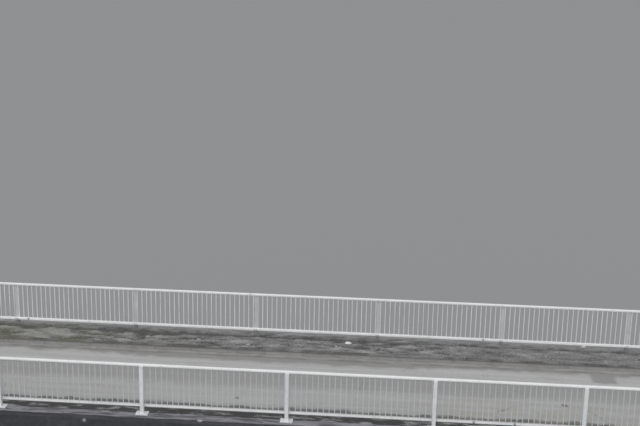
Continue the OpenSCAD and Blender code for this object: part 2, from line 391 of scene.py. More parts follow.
def paintedMetal(name):
    look = paintLooks[name]
    material, where = newMaterial(name)
    x, y, z = axes(where)
    normal = surfaceNormal(material)
    chalk = stained(where, scale=1.6, detail=6, low=0.38, high=0.66)
    dust = both(stained(where, scale=7, detail=8, low=0.5, high=0.72), look["dirtShare"])
    fly = spotted(where, scale=42, size=0.16, share=0.22)
    wet = both(washed(where, across=55, down=2.5, low=0.5, high=0.66), inverse(facingUp(normal)))
    outwards = both(axes(normal)[1], maths("SIGN", y))  # below 0 on the faces that look at the road
    splash = stained(where, scale=24, detail=5, low=0.42, high=0.66)
    farSide = fade(y, -0.1, 0.1)
    heavy = added(footGrime["near"], farSide, footGrime["far"] - footGrime["near"])
    tint = layered(
        look, "fresh",
        (chalk, 1, "chalky"),
        (dust, 1, "dirt"),
        (fly, 0.45, "dirt"),
        (wet, 0.28, "dirt"),
        (fade(outwards, -0.3, -0.9), look["spray"], "dirt"),  # road spray
        (both(splash, fade(z, *footGrime["fadeOut"])), heavy, "dirt"),
        (both(farSide, fade(z, *footGrime["cakeOut"])), 0.9, footGrime["cake"]))
    if name == "barPaint":
        tint = layered(look, tint, (fade(y, 0.1, -0.1), nearBarDarkening, "dirt"))
    if name == "railPaint":
        # the gaps at the rail joints take the sleeve's colour: grime, and painted shade in the gap
        for start, end, (low, high) in railJoints("near") + railJoints("far"):
            centre = ((start + end) / 2, (low.y + high.y) / 2, (low.z + high.z) / 2)
            reach = ((end - start) / 2, high.y - low.y, high.z - low.z)
            gap = useGroup(block, Vector=where, Middle=centre, Reach=reach)["Mask"]
            tint = layered(look, tint, (gap, 1, sleeveGrimeAndShade))
    rust = both(spotted(where, scale=17, size=0.12, share=look["rust"]),
                stained(where, scale=160, detail=3, low=0.35, high=0.6))
    tint = layered(look, tint, (rust, 1, rustColour))
    roughness = added(added(0.42, either(dust, chalk), 0.2), rust, 0.3)
    finished(material, tint, roughness, added(cloudy(where, 260.0, 3.0), rust, -0.8), 0.0004, 0.6)


# Galvanised nuts, bolts and screws
zincLook = {"bright": grey(150), "pale": grey(188), "spangle": 160.0}


def boltZinc():
    material, where = newMaterial("boltZinc")
    shade = cellShade(cells(where, zincLook["spangle"]))
    worn = stained(where, scale=31, detail=5, low=0.47, high=0.62)
    tint = layered(zincLook, "bright", (shade, 1, "pale"), (worn, 0.8, rustColour))
    metallic = both(inverse(worn), 0.75)
    finished(material, tint, added(0.45, worn, 0.4), shade, 0.0003, 0.5, metallic)


# The edge beams: a mottled ledge on top, a dark fascia, and pale patches where something has dropped. The
# fascia's dark grey is partly the concrete's staining and partly painted shade.
beamLook = {
    "ledge": colour(134, 133, 140), "ledgeDark": colour(76, 76, 82), "ledgePale": colour(164, 164, 170),
    # the fascia grey is partly staining and partly painted shade
    "farLedge": grey(150), "farLedgeDark": grey(130), "fascia": colour(65, 66, 70),
    "fasciaDark": colour(52, 53, 58), "fasciaPale": grey(92), "upstand": grey(104),
    # siltAndShadeFrom is where the band of silt and painted rail shadow on the ledges begins
    "edge": colour(42, 43, 48), "siltAndShadeFrom": (2.61, 2.53), "edgeFrom": (-2.63, -2.68),
    "upstandFrom": (2.29, 2.28), "shutters": {"Width": 1.22, "Length": 4.0}, "ragged": 0.08,
    "splashes": [((-5.086, -2.745, 6.94), (0.09, 0.065), grey(158)),
                 ((-2.675, -2.62, 7.0), (0.108, 0.083), grey(174))],
}


def beamConcrete():
    look = beamLook
    material, where = newMaterial("beamConcrete")
    x, y, z = axes(where)
    upward = facingUp(surfaceNormal(material))
    inward = maths("ABSOLUTE", y)
    grit = useGroup(grains, Vector=where, Scale=210.0)
    wander = cloudy(where, 3.0, 6.0)
    crust = stained(scaled(where, 0.3, 1.7, 1.0), scale=5.5, detail=9, low=0.43, high=0.6)
    pale = stained(scaled(where, 0.3, 1.5, 1.0), scale=8, detail=7, low=0.54, high=0.66)
    ledge = layered(
        look, "ledge",
        (crust, 1, "ledgeDark"),
        (fade(y, -1, 1), 1, layered(look, "farLedge", (crust, 1, "farLedgeDark"))),
        (pale, 0.7, "ledgePale"),
        # a darker band along the inner part of each ledge, under the bottom rails: silt, and painted shadow
        # of the rails
        (fade(added(inward, wander, 0.5), *look["siltAndShadeFrom"]), 0.8, "ledgeDark"),
        (grit["Shade"], 0.22, "ledgePale"),
        (fade(added(y, wander, -look["ragged"]), *look["edgeFrom"]), 0.85, "edge"))
    panel = useGroup(boards, Across=x, Along=z, **look["shutters"])
    wet = washed(where, across=9, down=0.7, low=0.42, high=0.66)
    bloom = stained(where, scale=2.8, detail=7, low=0.5, high=0.7)
    soot = stained(where, scale=8, detail=7, low=0.44, high=0.66)
    # faces that don't look up: staining, over a dark grey that is partly painted shade
    face = layered(
        look, "fascia",
        (wet, 1, "fasciaDark"),
        (bloom, 0.5, "fasciaPale"),
        (panel["Shade"], 0.16, "fasciaPale"),
        (soot, 0.6, "fasciaDark"),
        (fade(inward, *look["upstandFrom"]), 1, "upstand"))
    # faces that look up take the lighter ledge colours and the others the darker face colours: partly
    # painted light and shade
    tint = layered(look, face, (upward, 1, ledge))
    for spot, radii, shade in look["splashes"]:
        tint = layered(look, tint, (blot(where, spot, radii, wander, look["ragged"]), 0.85, shade))
    height = added(added(both(grit["Height"], 0.5), crust, 0.5), panel["Height"], inverse(upward))
    finished(material, tint, added(0.92, wet, -0.2), height, 0.003, 0.7)


# Board marked concrete of the slab and the piers
castLooks = {
    "deckConcrete": {"clean": grey(168, 2), "shade": grey(148, 3), "stain": grey(92, 4),
                     "stainHigh": (5.6, slabTop + 0.1), "flat": True},
    "pierConcrete": {"clean": grey(176, 3), "shade": grey(158, 4), "stain": grey(98, 5),
                     "stainHigh": (2.6, 5.75), "flat": False},
}
castBoards = {"Width": 0.15, "Length": 2.7}
dampFoot = (0.9, 0.05)  # the piers are damp near the ground


def castConcrete(name):
    look = castLooks[name]
    material, where = newMaterial(name)
    x, y, z = axes(where)
    # the soffit's boards run along the deck, the pier's lie level round it
    across, along = (y, x) if look["flat"] else (z, maths("ADD", x, y))
    marks = useGroup(boards, Across=across, Along=along, **castBoards)
    grit = useGroup(grains, Vector=where, Scale=190.0)
    cloud = stained(where, scale=0.8, detail=7, low=0.4, high=0.65)
    wet = washed(where, across=5, down=0.35, low=0.42, high=0.64)
    damp = stained(where, scale=2.5, detail=6, low=0.3, high=0.6)
    hole = spotted(where, scale=34, size=0.1, share=0.16)
    tint = layered(
        look, "clean",
        (cloud, 1, "shade"),
        (marks["Shade"], 0.35, "shade"),
        (both(wet, fade(z, *look["stainHigh"])), 0.8, "stain"),
        (both(damp, fade(z, *dampFoot)), 0.75, "stain"),
        (hole, 0.6, "stain"),
        (grit["Shade"], 0.12, "shade"))
    height = added(added(marks["Height"], hole, -2.0), grit["Height"], 0.15)
    finished(material, tint, 0.88, height, 0.0022, 0.8)


# The road: worn asphalt, dirtier towards the kerbs, with an old patch near the far side
roadLook = {
    "worn": grey(182), "dark": grey(167), "stone": grey(204), "pitch": grey(136), "margin": grey(134, 1),
    "gutter": grey(90, 1), "patch": grey(138), "crack": grey(100, 1), "centre": grey(138),
    "farMargin": (0.97, 1.19), "nearMargin": (-1.37, -1.49), "patchX": (5.95, 6.5), "patchY": (0.75, 1.3),
    "centreNear": (-0.75, -0.1), "centreFar": (0.66, 0.42), "nearLane": 0.34,
    "narrow": 0.17, "narrowLeft": (-4.7, -5.6), "narrowRight": (1.6, 3.0),
    "green": colour(154, 153, 134), "greenAlong": (1.2, 2.2), "greenAcross": (-0.3, -0.9),
    "oil": grey(96), "oilSpots": [((-2.12, -1.05, 6.84), (0.14, 0.08)), ((5.11, -0.6, 6.85), (0.15, 0.09))],
}


# 1 between two limits, with soft edges
def within(value, low, high, soft=0.06):
    return both(fade(value, low - soft, low + soft), fade(value, high + soft, high - soft))


def asphalt():
    look = roadLook
    material, where = newMaterial("asphalt")
    x, y, z = axes(where)
    streaks = scaled(where, 0.22, 5.5, 0.0)
    lanes = beside("TexNoise", {"Vector": streaks, "Scale": 1.0, "Detail": 5.0, "Roughness": 0.6})[0]
    cloud = stained(where, scale=1.3, detail=7, low=0.45, high=0.7)
    grit = useGroup(grains, Vector=where, Scale=130.0)
    paleStone = both(fade(grit["Shade"], 0.62, 0.9), 0.45)
    darkStone = both(fade(grit["Shade"], 0.3, 0.05), 0.4)
    wander = cloudy(where, 2.4, 7.0)
    across = wavy(y, wander, 0.4)
    narrow = both(either(fade(x, *look["narrowLeft"]), fade(x, *look["narrowRight"])), -look["narrow"])
    farSide = fade(maths("ADD", across, narrow), *look["farMargin"])
    crown = either(fade(across, *look["centreNear"]), look["nearLane"])
    crown = both(crown, fade(across, *look["centreFar"]))
    patch = both(within(x, *look["patchX"]), within(across, *look["patchY"]))
    green = both(stained(where, scale=2.1, detail=6, low=0.44, high=0.6),
                 both(fade(x, *look["greenAlong"]), fade(y, *look["greenAcross"])))
    tint = layered(
        look, "dark",
        (fade(lanes, 0.36, 0.66), 1, "worn"),
        (cloud, 0.35, "dark"),
        (paleStone, 1, "stone"),
        (darkStone, 1, "pitch"),
        (crown, 0.7, "centre"),
        (farSide, 0.85, "margin"),
        (fade(across, *look["nearMargin"]), 0.85, "gutter"),
        (patch, 0.8, "patch"),
        (green, 0.3, "green"))
    for spot, radii in look["oilSpots"]:
        tint = layered(look, tint, (blot(where, spot, radii, wander, 0.1), 0.7, "oil"))
    veins = cells(scaled(where, 0.35, 0.8, 1.0), 1.0, feature="DISTANCE_TO_EDGE")["Distance"]
    away = maths("ABSOLUTE", maths("SUBTRACT", wavy(veins, wander, 0.05), 0.02))
    crack = both(fade(away, 0.004, 0.001), cloud)
    tint = layered(look, tint, (crack, 0.8, "crack"))
    height = added(grit["Height"], crack, -3.0)
    finished(material, tint, added(0.93, paleStone, -0.2), height, 0.0025, 0.8)


# Kerb stones are cast 3 ft long, one shade for each; the joints are open a little
kerbStones = {
    "length": 0.9144, "joint": 0.008, "batter": 0.025, "topRound": 0.018, "arris": 0.003,
    "wander": 0.0015, "mortarBack": 0.006, "seed": 11,
}
kerbLook = {"clean": grey(158, 1), "dull": grey(148, 1), "dirt": grey(92, 1), "joint": grey(126, 1),
            "dirtHigh": (roadEdge + 0.025, vergeTop)}


def kerbConcrete():
    look = kerbLook
    material, where = newMaterial("kerbConcrete")
    x, y, z = axes(where)
    pitch = kerbStones["length"]
    start = maths("DIVIDE", maths("ADD", x, 20 * pitch), pitch)  # counted from 20 stones to the left
    shade = beside("TexWhiteNoise", {"W": maths("FLOOR", start)}, noise_dimensions="1D")["Value"]
    worn = stained(where, scale=5, detail=8, low=0.44, high=0.66)
    grit = useGroup(grains, Vector=where, Scale=240.0)
    tint = layered(
        look, "clean",
        (shade, 1, "dull"),
        (worn, 0.25, "dirt"),
        (facingUp(surfaceNormal(material)), 0.8, "dirt"),
        (fade(z, *look["dirtHigh"]), 0.6, "dirt"),
        (grit["Shade"], 0.2, "dull"),
        (fade(offMiddle(start), 0.484, 0.497), 1, "joint"))
    finished(material, tint, 0.9, added(grit["Height"], worn, 0.6), 0.0018, 0.7)


# Dirt on the verges: dark in its hollows, pale and greenish on its crests
soilLook = {
    "hollow": grey(74), "middle": grey(124), "crest": grey(160), "green": colour(120, 126, 96),
    "fleck": grey(164, 1), "greenAlong": (-3.0, -8.0), "greenAcross": (2.42, 2.28),
}


def vergeSoil():
    look = soilLook
    material, where = newMaterial("vergeSoil")
    x, y, z = axes(where)
    relief = place(material.node_tree, "Attribute", attribute_name="relief").outputs["Fac"]
    green = both(stained(where, scale=2.6, detail=7, low=0.28, high=0.62),
                 both(fade(x, *look["greenAlong"]), fade(y, *look["greenAcross"])))
    crumbs = useGroup(grains, Vector=where, Scale=85.0)
    tint = layered(
        look, "hollow",
        (fade(relief, 0.1, 0.5), 1, "middle"),
        (fade(relief, 0.5, 0.95), 1, "crest"),
        (green, 0.42, "green"),
        (fade(crumbs["Shade"], 0.7, 1.0), 0.5, "fleck"),
        (fade(crumbs["Shade"], 0.35, 0.0), 0.5, "hollow"))
    finished(material, tint, 0.95, crumbs["Height"], 0.006, 0.8)


# Silt washed up against kerbs, rails and upstands, with a darker tide line in the far one
siltLook = {"dry": grey(152, 1), "damp": grey(134, 1), "crumb": grey(166, 1), "line": grey(108, 1),
            "gutter": grey(92, 1), "lineNear": (1.3, 1.35), "lineFar": (1.46, 1.41)}


def roadSilt():
    look = siltLook
    material, where = newMaterial("roadSilt")
    x, y, z = axes(where)
    damp = stained(where, scale=2.6, detail=8, low=0.4, high=0.62)
    crumbs = useGroup(grains, Vector=where, Scale=120.0)
    across = wavy(y, cloudy(where, 1.6, 5.0), 0.16)
    line = both(fade(across, *look["lineNear"]), fade(across, *look["lineFar"]))
    tint = layered(
        look, "dry",
        (damp, 1, "damp"),
        (crumbs["Shade"], 0.35, "crumb"),
        (line, 0.6, "line"),
        (fade(y, 0.1, -0.1), 0.8, "gutter"))
    finished(material, tint, 0.95, crumbs["Height"], 0.004, 0.8)


# The near verge and the silt under the near rail: plain concrete, mostly covered by a dark grey that is
# partly dirt and partly painted shade under the rail
nearVergeLook = {"bare": grey(150), "dirt": grey(60)}


def nearVergeConcrete():
    look = nearVergeLook
    material, where = newMaterial("nearVergeConcrete")
    dirtAndShade = stained(scaled(where, 0.6, 1.2, 1.0), scale=4, detail=8, low=0.35, high=0.52)
    grit = useGroup(grains, Vector=where, Scale=200.0)
    tint = layered(look, "bare", (dirtAndShade, 1, "dirt"), (grit["Shade"], 0.14, "bare"))
    finished(material, tint, 0.92, added(grit["Height"], dirtAndShade, 0.8), 0.0025, 0.7)


# Loose stones, one shade each, and a few lumps of chalky white
stoneLook = {"pale": grey(186, 3), "dark": grey(92, 3), "chalk": grey(222, 2), "chalkFrom": 1.5}


def looseStone():
    look = stoneLook
    material, where = newMaterial("looseStone")
    shade = place(material.node_tree, "Attribute", attribute_name="shade").outputs["Fac"]
    fine = cloudy(where, 180.0, 4.0)
    tint = layered(
        look, "dark",
        (fade(shade, 0.4, 1.0), 1, "pale"),
        (fine, 0.35, "dark"),
        (maths("GREATER_THAN", shade, look["chalkFrom"]), 1, "chalk"))
    finished(material, tint, 0.85, fine, 0.002, 0.6)


rubberLook = {"clean": grey(42), "dust": grey(96, 4)}


def bearingRubber():
    material, where = newMaterial("bearingRubber")
    dust = stained(where, scale=14, detail=6, low=0.42, high=0.7)
    tint = layered(rubberLook, "clean", (dust, 0.5, "dust"))
    finished(material, tint, added(0.6, dust, 0.25), cloudy(where, 300.0, 2.0), 0.0005, 0.5)


for name in paintLooks:
    paintedMetal(name)
for name in castLooks:
    castConcrete(name)
for make in (boltZinc, beamConcrete, asphalt, kerbConcrete, vergeSoil, roadSilt, nearVergeConcrete,
             looseStone, bearingRubber):
    make()
slotFinish = {
    "deck_concrete": "deckConcrete", "beam_concrete": "beamConcrete", "asphalt": "asphalt",
    "near_verge_concrete": "nearVergeConcrete", "verge_soil": "vergeSoil", "kerb_concrete": "kerbConcrete",
    "pier_concrete": "pierConcrete", "bearing_rubber": "bearingRubber", "post_steel": "postPaint",
    "bar_steel": "barPaint", "rail_steel": "railPaint",
}
for part in frame["record"]["subparts"]:
    carried = nodes[part["node"]]
    carried.data.materials.clear()
    carried.data.materials.append(finish[slotFinish[part["material_slot"]]])
print("materials made,", len(finish))


# Mesh helpers
tiny = 1e-6  # two places closer than this are one
upsideDown = Matrix.Rotation(math.pi, 4, "X")


def at(x, y, z):
    return Matrix.Translation((x, y, z))


def toMesh(name, bm):
    mesh = bpy.data.meshes.new(name)
    bm.to_mesh(mesh)
    bm.free()
    return mesh


# Adds a copy of a small mesh to a bigger one, in its place
def stamp(bm, mesh, matrix):
    count = len(bm.verts)
    bm.from_mesh(mesh)
    bm.verts.ensure_lookup_table()
    bmesh.ops.transform(bm, matrix=matrix, verts=bm.verts[count:])


def addPiece(name, bm, material, slot, smoothTo, replaced=()):
    mesh = toMesh(name, bm)
    mesh.materials.append(finish[material])
    mesh.shade_smooth()
    mesh.set_sharp_from_angle(angle=math.radians(smoothTo))
    piece = bpy.data.objects.new(name, mesh)
    bpy.context.scene.collection.objects.link(piece)
    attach(piece, "root")
    if replaced:
        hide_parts(*replaced)


def bevelEdges(bm, edges, offset, segments):
    bmesh.ops.bevel(bm, geom=edges, offset=offset, segments=segments, profile=0.5,
                    affect="EDGES", material=-1)


def sharpEdges(bm, degrees):
    least = math.radians(degrees)
    return [edge for edge in bm.edges if edge.is_manifold and edge.calc_face_angle() > least]


# Each edge of some vertices once, always in the same order
def edgesOf(verts):
    return list(dict.fromkeys(edge for vert in verts for edge in vert.link_edges))


def boundary(items):
    return [item for item in items if isinstance(item, bmesh.types.BMEdge) and item.is_boundary]


# Trims a long piece to the deck's two skew ends and closes the cuts
def cutOnSkew(bm):
    for side in (-1, 1):
        everything = bm.verts[:] + bm.edges[:] + bm.faces[:]
        cut = bmesh.ops.bisect_plane(bm, geom=everything, plane_co=(side * deckHalf, 0, 0),
                                     plane_no=(side, -side * skewRun, 0), clear_outer=True)
        edges = [item for item in cut["geom_cut"] if isinstance(item, bmesh.types.BMEdge)]
        bmesh.ops.holes_fill(bm, edges=edges)


# Discs and hexagons on top of each other: each is its corners, radius, height and the cut off its rim
def stacked(levels):
    bm = bmesh.new()
    foot = 0
    for corners, radius, height, cut in levels:
        made = bmesh.ops.create_cone(bm, cap_ends=True, segments=corners, radius1=radius, radius2=radius,
                                     depth=height, matrix=at(0, 0, foot + height / 2))
        foot += height
        edges = edgesOf(made["verts"])
        rim = [edge for edge in edges if min(vert.co.z for vert in edge.verts) > foot - tiny]
        bevelEdges(bm, rim, cut, 1)
    return toMesh("stack", bm)


def domed(radius, rise, segments):
    bm = bmesh.new()
    bmesh.ops.create_uvsphere(bm, u_segments=segments, v_segments=segments // 2, radius=radius)
    bmesh.ops.scale(bm, vec=(1, 1, rise / radius), verts=bm.verts)
    return toMesh("dome", bm)


def boxed(bm, low, high):
    size = Vector(high) - Vector(low)
    centre = (Vector(high) + Vector(low)) / 2
    matrix = Matrix.Translation(centre) @ Matrix.Diagonal((*size, 1))
    return bmesh.ops.create_cube(bm, size=1, matrix=matrix)["verts"]


# Kerb stones on a bed of mortar that fills the back of the joints
def kerbRun(side):
    low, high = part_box(side + "_kerb")
    draw = random.Random(kerbStones["seed"] + (side == "far"))
    faceY = roadFace(side, (low, high))
    lean = (0, -roadward[side] * kerbStones["batter"], 0)
    length, halfGap, wander = kerbStones["length"], kerbStones["joint"] / 2, kerbStones["wander"]
    bm = bmesh.new()
    count = math.ceil(2 * deckHalf / length) + 6  # 6 spare, because the ends are skewed
    for i in range(-count // 2, count // 2 + 1):
        start = i * length
        single = bmesh.new()
        verts = boxed(single, (start + halfGap, low.y, low.z), (start + length - halfGap, high.y, high.z))
        topFront = [vert for vert in verts if abs(vert.co.y - faceY) + abs(vert.co.z - high.z) < tiny]
        bmesh.ops.translate(single, verts=topFront, vec=lean)
        front = [edge for edge in single.edges if all(vert in topFront for vert in edge.verts)]
        bevelEdges(single, front, kerbStones["topRound"], 4)
        bevelEdges(single, sharpEdges(single, 50), kerbStones["arris"], 1)
        mesh = toMesh("stone", single)
        stamp(bm, mesh, at(0, draw.uniform(-wander, 0) * roadward[side], draw.uniform(-2 * wander, 0)))
        bpy.data.meshes.remove(mesh)
    back = kerbStones["mortarBack"]
    reach = (count / 2 + 1) * length
    bedding = boxed(bm, (-reach, low.y + back, low.z + 0.002), (reach, high.y - back, high.z - back))
    topFront = [vert for vert in bedding if abs(vert.co.y - faceY) < 2 * back and vert.co.z > low.z + back]
    bmesh.ops.translate(bm, verts=topFront, vec=lean)
    cutOnSkew(bm)
    addPiece(side + "_kerb_stones", bm, "kerbConcrete", "kerb_concrete", 30, [side + "_kerb"])


for side in sides:
    kerbRun(side)
print("kerb stones laid")


# Dirt and silt lie in beds along the deck. Where a bed's depth is below 0, the ground shows instead.
bedSides = {"least": 0.002, "shade": 0.3}


def dirtBed(name, bed):
    width = bed["to"] - bed["from"]
    columns = round(2 * deckHalf / bed["step"])
    rows = round(width / bed["step"])
    bm = bmesh.new()
    bmesh.ops.create_grid(bm, x_segments=columns, y_segments=rows, size=0.5)
    relief = bm.verts.layers.float.new("relief")
    for vert in bm.verts:
        y = bed["from"] + (vert.co.y + 0.5) * width
        x = 2 * deckHalf * vert.co.x + y * skewRun
        level, shade = bed["depth"](bed, x, y)
        vert.co = (x, y, max(bed["ground"](y) + level, bed["foot"] + bedSides["least"]))
        vert[relief] = shade
    skirt = bmesh.ops.extrude_edge_only(bm, edges=boundary(bm.edges))["geom"]
    for item in skirt:
        if isinstance(item, bmesh.types.BMVert):
            item.co.z = bed["foot"]
            item[relief] = bedSides["shade"]
    bmesh.ops.contextual_create(bm, geom=boundary(skirt))
    bmesh.ops.recalc_face_normals(bm, faces=bm.faces)
    addPiece(name, bm, *bed["finish"], 60, bed.get("replaced", ()))


def rolling(x, y, scale, seed, octaves):
    return noise.fractal(Vector((x * scale, y * scale, seed)), 0.9, 2.1, octaves)


def clamp(value):
    return max(0.0, min(1.0, value))


def acrossBed(bed, y):
    return (y - bed["from"]) / (bed["to"] - bed["from"])


# 1 over the left end, where the dirt beside the kerb stays damp
def leftEnd(x):
    return clamp((-x - 4) / 0.8)


# Clods and hollows over the whole verge, higher towards the parapet. Gives the depth and the shade.
def deepSoil(bed, x, y):
    across = acrossBed(bed, y)
    calm = 1 - 0.4 * clamp((x - 1) / 3)  # the right half is smoother
    clod = rolling(x * 0.5, y * 1.9, 4.2, bed["seed"], 5) * calm
    patch = clamp(0.5 + rolling(x, y, 0.45, bed["seed"] + 9, 2))
    crumb = rolling(x, y, 34, bed["seed"] + 4, 3)
    lean = bed["lean"] + bed["leanRight"] * clamp((x + 1.5) / 4)
    level = clod * bed["clod"] * (0.5 + patch) + crumb * bed["crumb"] + across ** 2 * lean
    edge = min(1.0, (y - bed["from"]) / bed["edge"])
    damp = 0.22 * leftEnd(x) * clamp((0.45 - across) / 0.3)
    shade = 0.5 + (0.62 + 0.25 * leftEnd(x)) * clod + 0.3 * crumb - damp
    return level * edge - bed["sink"] * (1 - edge) - bed["settled"], clamp(shade)


# A low heap along the inner half of the far ledge, deep enough to bury the base plates
def heapedSoil(bed, x, y):
    across = acrossBed(bed, y)
    clod = rolling(x * 0.7, y * 1.5, 5.0, bed["seed"], 5)
    crumb = rolling(x, y, 36, bed["seed"] + 4, 3)
    heap = clamp(2.2 * math.sin(math.pi * (0.16 + 0.84 * across)) - 0.2 + 0.3 * clod)
    level = heap * (bed["thick"] + clod * bed["clod"]) + crumb * bed["crumb"] - (1 - heap) * bed["sink"]
    fringe = 0.38 * clamp((across - 0.1) / 0.4) + 0.1 * clamp((x + 4) / 8)
    return level, clamp(0.28 + fringe + 0.55 * clod + 0.2 * crumb)


# Thin dirt: rise gives its thickness across the bed. Swell is a wide noise: stretch, scale, octaves and
# share of the thickness. Crumb is a fine one: scale and height. Shades are a base, what swell and crumb add
# to it, and what the damp left end takes off.
def thinDirt(bed, x, y):
    stretch, scale, octaves, uneven = bed["swell"]
    swell = rolling(x * stretch, y, scale, bed["seed"], octaves)
    crumb = rolling(x, y, bed["crumb"][0], bed["seed"] + 4, 2)
    level = bed["thick"] * (bed["rise"](acrossBed(bed, y)) + uneven * swell) + crumb * bed["crumb"][1]
    base, swellShade, crumbShade, damp = bed["shades"]
    shade = base + swellShade * swell + crumbShade * crumb - damp * leftEnd(x)
    return max(level, bed["least"]), clamp(shade)


# Silt on the road is thickest in the corner
def intoCorner(near):
    return near ** 1.6 * 1.5 - 0.55


def ledgeHeap(across):
    return clamp(math.sin(math.pi * (0.02 + 0.8 * across)) - 0.35) * 1.3 - 0.12


soil = ("vergeSoil", "verge_soil")
nearSilt = ("nearVergeConcrete", "near_verge_concrete")
siltRun = {
    "step": 0.018, "foot": roadEdge - 0.01, "ground": roadHeight, "depth": thinDirt,
    "swell": (0.5, 2.3, 4, 0.55), "crumb": (32, 0.0012), "least": -0.006, "shades": (0.4, 0.5, 0.2, 0),
    "finish": ("roadSilt", "verge_soil"),
}
beds = {
    "far_verge_soil": {
        "from": farVerge[0].y, "to": farVerge[1].y, "step": 0.0145, "foot": slabTop + 0.001,
        "ground": lambda y: vergeTop, "depth": deepSoil, "seed": 3.7, "clod": 0.03, "crumb": 0.008,
        "lean": 0.062, "leanRight": 0.024, "edge": 0.08, "sink": 0.03, "settled": 0.01,
        "finish": soil, "replaced": ["far_verge"],
    },
    "far_kerb_dirt": {
        "from": farKerb[0].y + 0.018, "to": farKerb[1].y + 0.01, "step": 0.012, "foot": vergeTop - 0.012,
        "ground": lambda y: vergeTop, "depth": thinDirt, "seed": 13.1, "thick": 0.008,
        "rise": lambda across: 1.6 * across - 0.3, "swell": (0.7, 3.4, 4, 0.7), "crumb": (40, 0.0015),
        "least": -0.008, "shades": (0.3, 0.35, 0.2, 0.1), "finish": soil,
    },
    "far_ledge_soil": {
        "from": farBeam[0].y + 0.004, "to": farBeam[0].y + 0.32, "step": 0.015, "foot": deckTop - 0.006,
        "ground": lambda y: deckTop, "depth": heapedSoil, "seed": 21.3, "thick": 0.027, "clod": 0.009,
        "crumb": 0.003, "sink": 0.008, "finish": soil,
    },
    "far_road_silt": {
        **siltRun, "from": farKerb[0].y - 0.42, "to": farKerb[0].y - 0.001, "thick": 0.009, "seed": 41.0,
        "rise": intoCorner,
    },
    "near_road_silt": {
        **siltRun, "from": nearKerb[1].y + 0.001, "to": nearKerb[1].y + 0.3, "thick": 0.014, "seed": 47.0,
        "rise": lambda across: intoCorner(1 - across),
    },
    # silt under the near bottom rail, dark as silt and as painted shadow of the rail
    "near_ledge_silt_and_shade": {
        "from": nearBeam[1].y - 0.1, "to": nearBeam[1].y - 0.004, "step": 0.012, "foot": deckTop - 0.006,
        "ground": lambda y: deckTop, "depth": thinDirt, "seed": 61.0, "thick": 0.011, "rise": ledgeHeap,
        "swell": (0.6, 3.1, 5, 0.75), "crumb": (38, 0.0012), "least": -0.005, "shades": (0.3, 0.5, 0.25, 0),
        "finish": nearSilt,
    },
    "near_verge_dirt": {
        "from": nearVerge[0].y, "to": nearVerge[1].y, "step": 0.018, "foot": vergeTop - 0.008,
        "ground": lambda y: vergeTop, "depth": thinDirt, "seed": 67.0, "thick": 0.02,
        "rise": lambda across: 0.75 - 0.7 * across, "swell": (0.6, 2.8, 5, 0.6), "crumb": (34, 0.002),
        "least": -0.006, "shades": (0.35, 0.55, 0.25, 0), "finish": nearSilt,
    },
}
for name, bed in beds.items():
    dirtBed(name, bed)
print("dirt laid")


# The surface at a place on the far verge or ledge, where dirt may lie
def dirtTop(name, x, y):
    bed = beds[name]
    ground = bed["ground"](y)
    return ground + bed["depth"](bed, x, y)[0] if y < bed["to"] else ground


# Loose stones. Lumps are those that stand out: place, half length, flatness and shade.
stoneShapes = {"count": 6, "rough": 0.22, "seed": 5}
stoneFields = {
    "far_verge_stones": {
        "from": farVerge[0].y + 0.03, "to": farVerge[1].y - 0.02, "count": 300, "small": 0.007,
        "big": 0.026, "ground": lambda x, y: dirtTop("far_verge_soil", x, y), "seed": 31,
        "lumps": [(0.17, 2.18, 0.085, 0.8, 2.0), (-0.12, 2.05, 0.05, 0.5, 0.9),
                  (-0.02, 2.0, 0.04, 0.6, 0.8), (-3.55, 2.1, 0.06, 0.5, 0.85),
                  (-4.85, 2.15, 0.07, 0.4, 0.85), (-2.3, 1.95, 0.06, 0.4, 0.8)],
    },
    "near_ledge_stones": {
        "from": nearBeam[0].y + 0.05, "to": nearBeam[1].y - 0.03, "count": 150, "small": 0.003,
        "big": 0.011, "ground": lambda x, y: deckTop, "seed": 32,
    },
    "road_stones": {
        "from": farKerb[0].y - 0.5, "to": farKerb[0].y - 0.03, "count": 220, "small": 0.003, "big": 0.012,
        "ground": lambda x, y: roadHeight(y), "seed": 33,
    },
    "gutter_stones": {
        "from": nearKerb[1].y + 0.03, "to": nearKerb[1].y + 0.4, "count": 140, "small": 0.003, "big": 0.01,
        "ground": lambda x, y: roadHeight(y), "seed": 34,
    },
    "far_ledge_stones": {
        "from": farBeam[0].y + 0.05, "to": farBeam[1].y - 0.05, "count": 120, "small": 0.003, "big": 0.012,
        "ground": lambda x, y: max(deckTop, dirtTop("far_ledge_soil", x, y)), "seed": 35,
        "lumps": [(5.98, 2.57, 0.062, 1.1, 2.0)],
    },
}


def stoneMesh(number):
    bm = bmesh.new()
    bmesh.ops.create_icosphere(bm, subdivisions=2, radius=1)
    for vert in bm.verts:
        push = noise.noise(vert.co * 1.1 + Vector((number * 7.3, stoneShapes["seed"], 0)))
        vert.co *= 1 + stoneShapes["rough"] * 2 * push
    bmesh.ops.scale(bm, vec=(1, 0.75, 0.55), verts=bm.verts)
    return toMesh("stone", bm)


